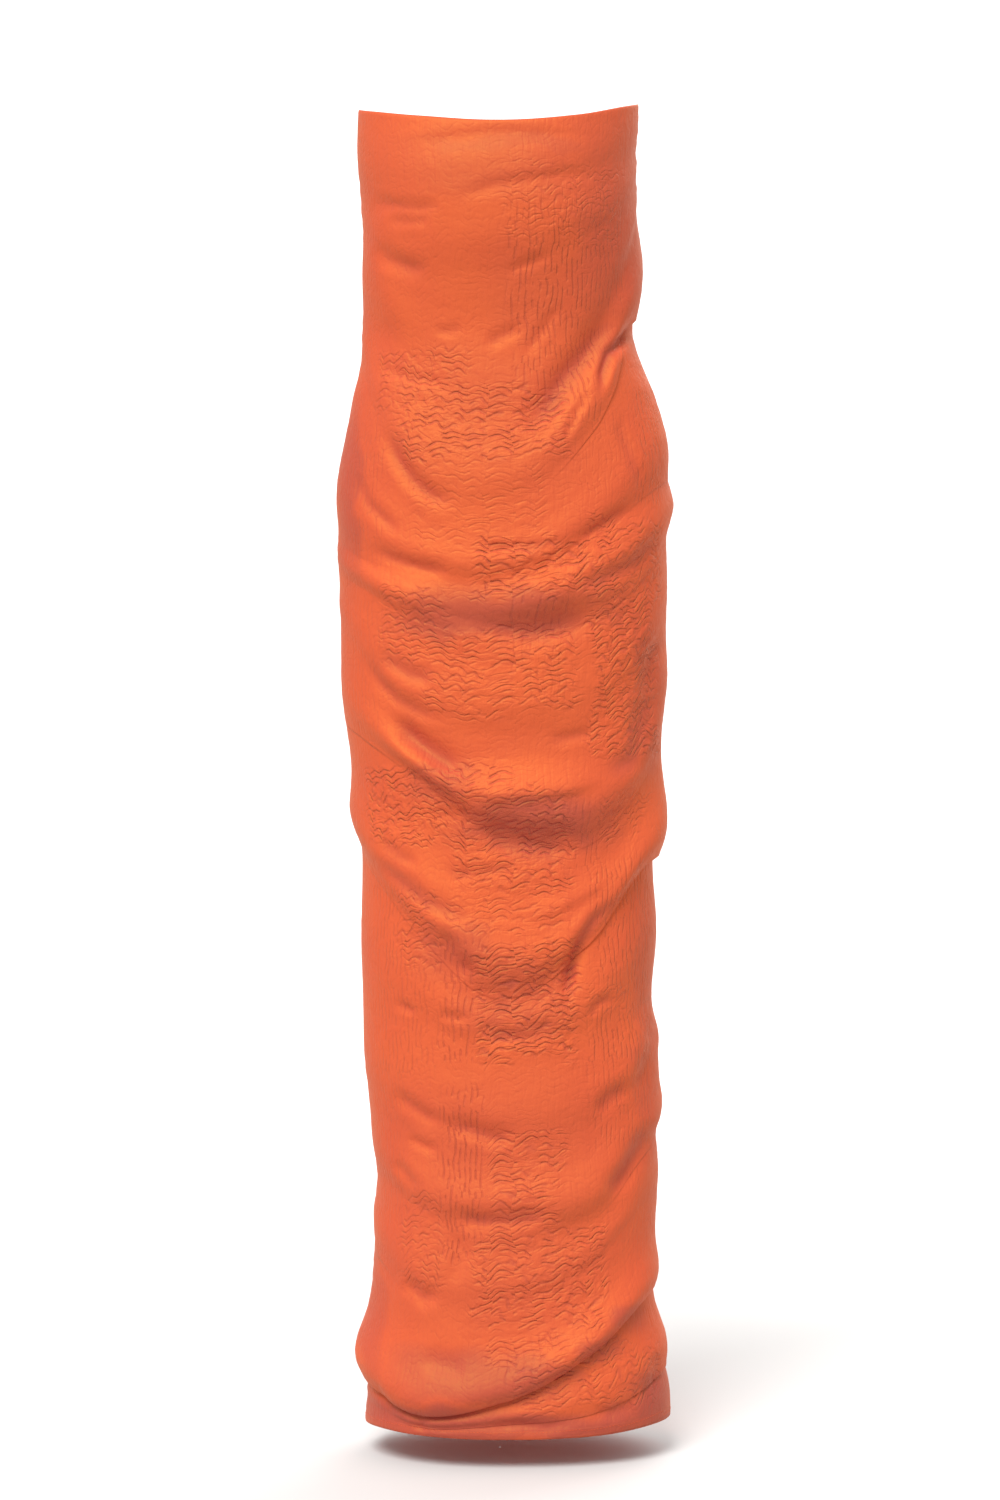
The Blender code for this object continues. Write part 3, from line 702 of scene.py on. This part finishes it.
def inner_points(angles, outer, ends, sides):
    """The inner side: a smooth wall under the lowest places of the folds."""
    columns = np.arange(0, len(angles), INNER_STEP)
    rows = np.arange(0, len(outer), INNER_ROWS_STEP)
    rows = np.append(rows[:-1], len(outer) - 1) if rows[-1] != len(outer) - 1 else rows
    heights = np.minimum.accumulate(outer[:, columns, 2], axis=0)
    heights = heights - LEAST_STEP * np.arange(len(outer))[:, None]
    heights[-1] = outer[-1, columns, 2]
    angle = np.broadcast_to(angles[columns], heights.shape)
    x, y, out_x, out_y = figure_points(angle, outer[:, columns, 2])
    out = (outer[:, columns, 0] - x) * out_x + (outer[:, columns, 1] - y) * out_y
    low = out.copy()
    for shift in range(1, 2 * INNER_ROWS_STEP):
        low[shift:] = np.minimum(low[shift:], out[:-shift])
        low[:-shift] = np.minimum(low[:-shift], out[shift:])
    x, y, out_x, out_y = figure_points(angle, heights)
    inner = np.stack([x + (low - WALL) * out_x, y + (low - WALL) * out_y, heights], axis=2)[rows]
    part_edges(inner, ends, sides)
    return rows, columns, inner


def wall_mesh(name, outer, inner, rows, columns, u, v, masks):
    """A closed sheet: a fine outer grid, a coarse inner one and the rims between them."""
    down, across = outer.shape[:2]
    number = np.arange(down * across).reshape(down, across)
    inside = down * across + np.arange(inner.shape[0] * inner.shape[1]).reshape(inner.shape[:2])
    faces = np.stack([number[:-1, :-1], number[1:, :-1], number[1:, 1:], number[:-1, 1:]], axis=2)
    back = np.stack([inside[:-1, :-1], inside[:-1, 1:], inside[1:, 1:], inside[1:, :-1]], axis=2)
    polygons = faces.reshape(-1, 4).tolist() + back.reshape(-1, 4).tolist()
    for k in range(len(columns) - 1):
        edge = list(range(columns[k], columns[k + 1] + 1))
        polygons.append([*number[0, edge].tolist(), int(inside[0, k + 1]), int(inside[0, k])])
        polygons.append([*number[-1, edge[::-1]].tolist(), int(inside[-1, k]), int(inside[-1, k + 1])])
    for k in range(len(rows) - 1):
        edge = list(range(rows[k], rows[k + 1] + 1))
        polygons.append([*number[edge[::-1], 0].tolist(), int(inside[k, 0]), int(inside[k + 1, 0])])
        polygons.append([*number[edge, -1].tolist(), int(inside[k + 1, -1]), int(inside[k, -1])])
    points = np.concatenate([outer.reshape(-1, 3), inner.reshape(-1, 3)]) * MM
    mesh = bpy.data.meshes.new(name)
    mesh.from_pydata(points.tolist(), [], polygons)

    def both_sides(values):
        return np.concatenate([values.ravel(), values[np.ix_(rows, columns)].ravel()])

    corners = np.empty(len(mesh.loops), dtype=np.int32)
    mesh.loops.foreach_get("vertex_index", corners)
    cloth = np.stack([both_sides(u)[corners], -both_sides(v)[corners]], axis=1) * MM
    mesh.uv_layers.new(name="cloth").data.foreach_set("uv", cloth.ravel())
    for kind, mask in masks.items():
        attribute = mesh.attributes.new(kind, "FLOAT", "POINT")
        attribute.data.foreach_set("value", both_sides(mask).astype(np.float32))
    mesh.shade_smooth()
    return mesh


def show(mesh):
    """Link a finished mesh as a piece that rides on the dress."""
    item = bpy.data.objects.new(mesh.name, mesh)
    bpy.context.scene.collection.objects.link(item)
    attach(item, "dress")
    return item


def cloth_noise(tree, place, scale, detail=1.0, **more):
    """Noise over the cloth; scale is bumps to the metre, across and along."""
    stretched = add(tree, "ShaderNodeMapping", {"Vector": place, "Scale": (*scale, 1.0)})
    return add(tree, "ShaderNodeTexNoise", {"Vector": stretched, "Scale": 1.0, "Detail": detail, **more},
               noise_dimensions="2D")


def valleys(tree, place, scale, width):
    """Narrow winding valleys between rounded swells; width is a share of the swells' height."""
    middle = add(tree, "ShaderNodeMath", {0: cloth_noise(tree, place, scale), 1: 0.5}, operation="SUBTRACT")
    away = add(tree, "ShaderNodeMath", {0: middle}, operation="ABSOLUTE")
    return add(tree, "ShaderNodeMapRange", {0: away, 1: 0.0, 2: width, 3: 1.0, 4: 0.0},
               interpolation_type="SMOOTHSTEP")


def dashes(tree, place, along, across, length, spacing, bow, drift, breaks):
    """Broken lines side by side, in columns that each start at another place: 1 in a line."""
    uneven = cloth_noise(tree, place, LINE_WANDER)
    column = add(tree, "ShaderNodeMath", {0: along, 1: 1 / length, 2: uneven}, operation="MULTIPLY_ADD")
    number = add(tree, "ShaderNodeMath", {0: column}, operation="FLOOR")
    start = add(tree, "ShaderNodeTexWhiteNoise", {"W": number}, noise_dimensions="1D")
    arc = add(tree, "ShaderNodeMath", {0: column, 1: 2 * math.pi}, operation="MULTIPLY")
    arc = add(tree, "ShaderNodeMath", {0: arc}, operation="COSINE")
    rows = add(tree, "ShaderNodeMath", {0: across, 1: 1 / spacing, 2: start}, operation="MULTIPLY_ADD")
    rows = add(tree, "ShaderNodeMath", {0: arc, 1: bow, 2: rows}, operation="MULTIPLY_ADD")
    rows = add(tree, "ShaderNodeMath", {0: uneven, 1: drift, 2: rows}, operation="MULTIPLY_ADD")
    turn = add(tree, "ShaderNodeMath", {0: rows, 1: math.pi}, operation="MULTIPLY")
    wave = add(tree, "ShaderNodeMath", {0: turn}, operation="SINE")
    wave = add(tree, "ShaderNodeMath", {0: wave}, operation="ABSOLUTE")
    line = add(tree, "ShaderNodeMapRange", {0: wave, 1: 0.0, 2: LINE_WIDTH, 3: 1.0, 4: 0.0},
               interpolation_type="SMOOTHSTEP")
    gaps = cloth_noise(tree, place, breaks)
    broken = add(tree, "ShaderNodeMapRange", {0: gaps, 1: LINE_BREAKS[0], 2: LINE_BREAKS[1]},
                 interpolation_type="SMOOTHSTEP")
    return add(tree, "ShaderNodeMath", {0: line, 1: broken}, operation="MULTIPLY")


def crinkle_lines(tree, uv, kept):
    """The creases of the puckers and of the pleats, each as strong as the mesh's mask says."""
    u = add(tree, "ShaderNodeSeparateXYZ", {"Vector": uv})
    v = u.node.outputs["Y"]

    # Puckers: bowed level creases 8 mm apart, in columns 17 mm wide
    level = dashes(tree, uv, u, v, *PUCKER_LINES)
    faint = valleys(tree, uv, VALLEYS, VALLEY_WIDTH)
    pucker = add(tree, "ShaderNodeMath", {0: faint, 1: VALLEY_SHARE, 2: level}, operation="MULTIPLY_ADD")
    pucker = add(tree, "ShaderNodeMath", {0: pucker, 1: kept[PUCKER]}, operation="MULTIPLY")

    # Pleats: upright creases 6 mm apart, each 10 to 30 mm long
    upright = dashes(tree, uv, v, u, *PLEAT_LINES)
    pleat = add(tree, "ShaderNodeMath", {0: upright, 1: kept[PLEAT]}, operation="MULTIPLY")
    return pucker, pleat


def satin_relief(tree, uv, kept, pucker, pleat):
    """The satin's bumps one over the other, and its crumple."""
    # Crumple, strongest among the puckers, and the satin's upright streaks
    crumple = cloth_noise(tree, uv, (100.0, 100.0), 3.0, Roughness=0.6)
    share = add(tree, "ShaderNodeMath", {0: kept[PUCKER], 1: 0.7, 2: 0.3}, operation="MULTIPLY_ADD")
    crumpled = add(tree, "ShaderNodeMath", {0: crumple, 1: share}, operation="MULTIPLY")
    grain = cloth_noise(tree, uv, (240.0, 26.0), 2.0, Distortion=0.6)
    crumpled = add(tree, "ShaderNodeMath", {0: grain, 1: 0.3, 2: crumpled}, operation="MULTIPLY_ADD")

    # The hem's turned cloth, and the weave, three times as coarse as it is
    turned = add(tree, "ShaderNodeMapRange",
                 {0: kept[EDGE], 1: HEM * MM, 2: (HEM + HEM_STEP) * MM, 3: 1.0, 4: 0.0},
                 interpolation_type="SMOOTHSTEP")
    weave = cloth_noise(tree, uv, (700.0, 2200.0))
    normal = add(tree, "ShaderNodeBump", {"Distance": PUCKER_DEPTH, "Height": pucker}, invert=True)
    for height, distance, inward in ((pleat, PLEAT_DEPTH, True), (crumpled, CRUMPLE_DEPTH, False),
                                     (turned, HEM_DEPTH, False), (weave, WEAVE_DEPTH, False)):
        normal = add(tree, "ShaderNodeBump", {"Distance": distance, "Height": height, "Normal": normal},
                     invert=inward)
    return normal, crumple


def satin_material():
    """Crinkled satin: an orange face whose threads shine golden, and redden as they turn away."""
    material, tree, shader = new_material("crinkled_satin")
    uv = add(tree, "ShaderNodeUVMap", {}, uv_map="cloth")
    kept = {name: add(tree, "ShaderNodeAttribute", {}, attribute_name=name).node.outputs["Fac"]
            for name in (PUCKER, PLEAT, PAINTED_SHADE, EDGE)}
    pucker, pleat = crinkle_lines(tree, uv, kept)
    normal, crumple = satin_relief(tree, uv, kept, pucker, pleat)

    # Colour: strong orange, a little redder in broad soft patches, and a painted shade of rosy red between
    # the folds and along the crinkle's lines
    broad = add(tree, "ShaderNodeValToRGB", {"Fac": cloth_noise(tree, uv, (9.0, 9.0), 2.0)})
    ramp = broad.node.color_ramp
    ramp.elements[0].position, ramp.elements[0].color = 0.35, linear("DE513B")
    ramp.elements[1].position, ramp.elements[1].color = 0.65, linear("E2563B")
    # Painted shade: the crinkle's lines and the troughs between folds are mixed towards a darker rosy red
    lines = add(tree, "ShaderNodeMath", {0: pucker, 1: pleat}, operation="ADD")
    lines = add(tree, "ShaderNodeMath", {0: lines, 1: CREASE_PAINTED_SHADE}, operation="MULTIPLY")
    painted_shade_mix = add(tree, "ShaderNodeMath", {0: kept[PAINTED_SHADE], 1: PAINTED_SHADE_TONE, 2: lines},
               operation="MULTIPLY_ADD")
    mixed = add(tree, "ShaderNodeMixRGB", {"Fac": painted_shade_mix, "Color1": broad, "Color2": linear("B43F42")},
                use_clamp=True)
    rough = add(tree, "ShaderNodeMapRange", {0: crumple, 3: 0.56, 4: 0.68})
    fill(tree, shader, {"Base Color": mixed, "Roughness": rough, "Normal": normal,
                        "Specular IOR Level": 0.95, "Specular Tint": (1.0, 0.85, 0.1, 1.0),
                        "Sheen Weight": 0.1, "Sheen Roughness": 0.4,
                        "Sheen Tint": (1.0, 0.28, 0.1, 1.0)})
    return material


def grained_material(name, colour, scale, strength, depth, smooth, rough):
    """One colour with a fine grain, rougher where the grain stands out."""
    material, tree, shader = new_material(name)
    place = add(tree, "ShaderNodeTexCoord", {}).node.outputs["Object"]
    grain = add(tree, "ShaderNodeTexNoise", {"Vector": place, "Scale": scale})
    bump = add(tree, "ShaderNodeBump", {"Strength": strength, "Distance": depth, "Height": grain})
    uneven = add(tree, "ShaderNodeMapRange", {0: grain, 3: smooth, 4: rough})
    fill(tree, shader, {"Base Color": linear(colour), "Roughness": uneven, "Normal": bump})
    return material


def tape_material():
    """Woven zip tape: a matt twill with a fine herringbone."""
    material, tree, shader = new_material("zip_tape")
    place = add(tree, "ShaderNodeTexCoord", {}).node.outputs["Object"]
    twill = add(tree, "ShaderNodeTexWave", {"Vector": place, "Scale": 1 / 0.0025, "Distortion": 0.4},
                bands_direction="DIAGONAL")
    bump = add(tree, "ShaderNodeBump", {"Strength": 0.6, "Distance": 0.0002, "Height": twill})
    shade = add(tree, "ShaderNodeValToRGB", {"Fac": twill})
    ramp = shade.node.color_ramp
    ramp.elements[0].color = linear("C94F30")
    ramp.elements[1].color = linear("DE6440")
    fill(tree, shader, {"Base Color": shade, "Roughness": 0.8, "Normal": bump})
    return material


def stage_piece(name, outline, paper):
    """Part of the stage: an outline of distance and height, swept all round."""
    turns = np.linspace(0, 2 * math.pi, STAGE_SIDES, endpoint=False)
    points = [(far * math.sin(turn), far * math.cos(turn), z) for far, z in outline for turn in turns]
    faces = []
    for ring in range(0, (len(outline) - 1) * STAGE_SIDES, STAGE_SIDES):
        for side in range(STAGE_SIDES):
            start, after = ring + side, ring + (side + 1) % STAGE_SIDES
            faces.append((start, start + STAGE_SIDES, after + STAGE_SIDES, after))
    mesh = bpy.data.meshes.new(name)
    mesh.from_pydata(points, [], faces)
    mesh.shade_smooth()
    mesh.materials.append(paper)
    item = bpy.data.objects.new(name, mesh)
    item.visible_diffuse = False     # no light bounces off it, as in the photograph
    bpy.context.scene.collection.objects.link(item)
    return item


def make_stage():
    """A pale floor that curves up into a backdrop all round, which casts no shadow."""
    paper = grained_material(*PAPER)
    stage_piece("stage_floor", [(0.001, STAGE_FLOOR), (STAGE_REACH, STAGE_FLOOR)], paper)
    outline = [(STAGE_REACH, STAGE_FLOOR)]
    for step in range(1, STAGE_BEND_STEPS + 1):
        turn = math.pi / 2 * step / STAGE_BEND_STEPS
        outline.append((STAGE_REACH + STAGE_BEND * math.sin(turn),
                        STAGE_FLOOR + STAGE_BEND * (1 - math.cos(turn))))
    outline.append((STAGE_REACH + STAGE_BEND, STAGE_TOP))
    stage_piece("stage_backdrop", outline, paper).visible_shadow = False


def make_light(name, kind, place, aim, power, **sizes):
    """A light at a place, aimed at another."""
    data = bpy.data.lights.new(name, kind)
    data.energy = power
    for size, value in sizes.items():
        setattr(data, size, value)
    item = bpy.data.objects.new(name, data)
    item.location = place
    item.rotation_euler = (Vector(aim) - Vector(place)).to_track_quat("-Z", "Y").to_euler()
    bpy.context.scene.collection.objects.link(item)


def make_lights():
    """Soft light from above and a little to the left, with a bright surround."""
    middle = (0, 0, -0.6)
    make_light("key", "SUN", (-1.1, -2.7, 2.9), middle, 2.55, angle=math.radians(30))
    make_light("back", "SUN", (1.3, 2.6, 1.5), middle, 1.1, angle=math.radians(40))
    make_light("backdrop_wash", "AREA", (0, 3.0, 2.8), (0, 6.2, -0.2), 160, size=3.0)
    world = bpy.data.worlds.new("studio")
    world.use_nodes = True
    fill(world.node_tree, world.node_tree.nodes["Background"],
         {"Color": (1, 1, 1, 1), "Strength": SURROUND})
    bpy.context.scene.world = world
    bpy.context.scene.view_settings.view_transform = "Standard"


def make_camera():
    """The photograph's camera: level, at the middle of the dress."""
    data = bpy.data.cameras.new("camera")
    data.sensor_fit = "VERTICAL"
    data.sensor_height = SENSOR
    data.lens = SENSOR * CAMERA_DISTANCE / (PHOTO_HEIGHT * MM_PER_PIXEL)
    item = bpy.data.objects.new("camera", data)
    item.location = (0, -CAMERA_DISTANCE * MM, CAMERA_HEIGHT * MM)
    item.rotation_euler = (math.pi / 2, 0, 0)
    bpy.context.scene.collection.objects.link(item)
    bpy.context.scene.camera = item


def row_nodes():
    """A node tree that sets rounded pieces along a path, as zip teeth and stitches are."""
    tree = bpy.data.node_groups.new("row_of_pieces", "GeometryNodeTree")
    for name, kind in (("Path", "Geometry"), ("Pitch", "Float"), ("Size", "Vector"),
                       ("Stagger", "Float"), ("Material", "Material")):
        tree.interface.new_socket(name, in_out="INPUT", socket_type="NodeSocket" + kind)
    tree.interface.new_socket("Pieces", in_out="OUTPUT", socket_type="NodeSocketGeometry")
    given = add(tree, "NodeGroupInput", {}).node.outputs
    curve = add(tree, "GeometryNodeMeshToCurve", {"Mesh": given["Path"]})
    even = add(tree, "GeometryNodeResampleCurve", {"Curve": curve, "Length": given["Pitch"]}, mode="LENGTH")
    tangent = add(tree, "GeometryNodeInputTangent", {})
    turned = add(tree, "FunctionNodeAlignRotationToVector", {"Vector": tangent}, axis="Z")
    index = add(tree, "GeometryNodeInputIndex", {})
    odd = add(tree, "ShaderNodeMath", {0: index, 1: 2.0}, operation="MODULO")
    side = add(tree, "ShaderNodeMath", {0: odd, 1: 2.0, 2: -1.0}, operation="MULTIPLY_ADD")
    across = add(tree, "ShaderNodeMath", {0: side, 1: given["Stagger"]}, operation="MULTIPLY")
    offset = add(tree, "ShaderNodeCombineXYZ", {"X": across})
    places = add(tree, "GeometryNodeSetPosition", {"Geometry": even, "Offset": offset})
    ball = add(tree, "GeometryNodeMeshUVSphere", {"Segments": 8, "Rings": 6, "Radius": 0.5})
    pieces = add(tree, "GeometryNodeInstanceOnPoints", {"Points": places, "Instance": ball,
                                                        "Rotation": turned, "Scale": given["Size"]})
    real = add(tree, "GeometryNodeRealizeInstances", {"Geometry": pieces})
    smooth = add(tree, "GeometryNodeSetShadeSmooth", {"Geometry": real})
    coloured = add(tree, "GeometryNodeSetMaterial", {"Geometry": smooth, "Material": given["Material"]})
    fill(tree, tree.nodes.new("NodeGroupOutput"), {"Pieces": coloured})
    return tree


def make_row(name, tree, paths, material, pitch, size, stagger=0.0):
    """Rows of small pieces along paths of points, kept as one plain mesh."""
    points, edges = [], []
    for path in paths:
        first = len(points)
        points += [tuple(point * MM) for point in path]
        edges += [(i, i + 1) for i in range(first, len(points) - 1)]
    mesh = bpy.data.meshes.new("path")
    mesh.from_pydata(points, edges, [])
    guide = bpy.data.objects.new("path", mesh)
    bpy.context.scene.collection.objects.link(guide)
    modifier = guide.modifiers.new("row", "NODES")
    modifier.node_group = tree
    values = {"Pitch": pitch * MM, "Size": [side * MM for side in size], "Stagger": stagger * MM,
              "Material": material}
    for socket in tree.interface.items_tree:
        if socket.name in values:
            modifier[socket.identifier] = values[socket.name]
    depsgraph = bpy.context.evaluated_depsgraph_get()
    made = bpy.data.meshes.new_from_object(guide.evaluated_get(depsgraph))
    made.name = name
    bpy.data.objects.remove(guide)
    return show(made)


def hem_path(outer, v):
    """Points just outside a panel, along the stitch line above its hem."""
    rows = np.argmin(np.abs(v[-1] - v - HEM_STITCH_LINE), axis=0)
    path = outer[rows, np.arange(outer.shape[1])].copy()
    away = path[:, :2] / np.linalg.norm(path[:, :2], axis=1, keepdims=True)
    path[:, :2] += STITCH_RISE * away
    return path


def zip_path(outer, across, depth):
    """Points down the inside of the centre back, at a distance across and a depth in."""
    heights = np.arange(ZIP_TOP, ZIP_BOTTOM, -ZIP_PATH_STEP)
    edge = outer[:, -1]
    order = np.argsort(edge[:, 2])
    y = np.interp(heights, edge[order, 2], edge[order, 1])
    return np.stack([np.full_like(y, across), y - WALL - depth, heights], axis=1)


def make_sewing(panels, satin, tape, metal):
    """Stitches round the hem and down the zip tapes, and the zip's teeth."""
    tree = row_nodes()
    back = panels["back_left"][0]
    hems = [hem_path(outer, v) for outer, v in panels.values()]
    hem = make_row("hem_stitches", tree, hems, satin, STITCH_PITCH, STITCH)
    inside = TAPE_GAP + TAPE_DEPTH
    seams = [zip_path(back, side * TAPE_STITCH_LINE, inside) for side in (-1, 1)]
    tacks = make_row("tape_stitches", tree, seams, tape, STITCH_PITCH, STITCH)
    teeth = make_row("zip_teeth", tree, [zip_path(back, 0.0, TAPE_GAP + TAPE_DEPTH / 2)], metal,
                     TOOTH_PITCH, TOOTH, TOOTH_STAGGER)


def dress_panels(satin):
    """The three panels as thin closed sheets; returns the points of their outer sides."""
    # Each one's ends in degrees, columns, sides of its seams, creases, patches, patches of painted shade
    # and seed
    creases = turned_creases()
    panels = (("front", (-90, 90), FRONT_COLUMNS, (-1, -1), CREASES,
               {PUCKER: PUCKERS, PLEAT: PLEATS}, PAINTED_SHADE_PATCHES, 31),
              ("back_left", (90, 180), BACK_COLUMNS, (1, 1), creases, back_patches(1), [], 52),
              ("back_right", (-180, -90), BACK_COLUMNS, (-1, 1), creases, back_patches(-1), [], 50))
    surfaces = {}
    for node, ends, columns, sides, *dressing in panels:
        angles, smooth, outer, u, v, masks = panel_points(ends, columns, sides, *dressing)
        rows, kept, inner = inner_points(angles, smooth, ends, sides)
        mesh = wall_mesh(f"{node}_cloth", outer, inner, rows, kept, u, v, masks)
        mesh.materials.append(satin)
        piece = show(mesh)
        surfaces[node] = (outer, v)
        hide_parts(f"{node}_panel")
    return surfaces


def finish_cad_nodes(tape, metal):
    """Give the CAD nodes that stay their finish."""
    for name, material in (("zip_tape_left", tape), ("zip_tape_right", tape),
                           ("zip_slider", metal), ("zip_pull", metal)):
        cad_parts[name].material_slots[0].material = material


make_camera()
make_lights()
make_stage()
satin, tape, metal = satin_material(), tape_material(), grained_material(*ENAMEL)
make_sewing(dress_panels(satin), satin, tape, metal)
finish_cad_nodes(tape, metal)
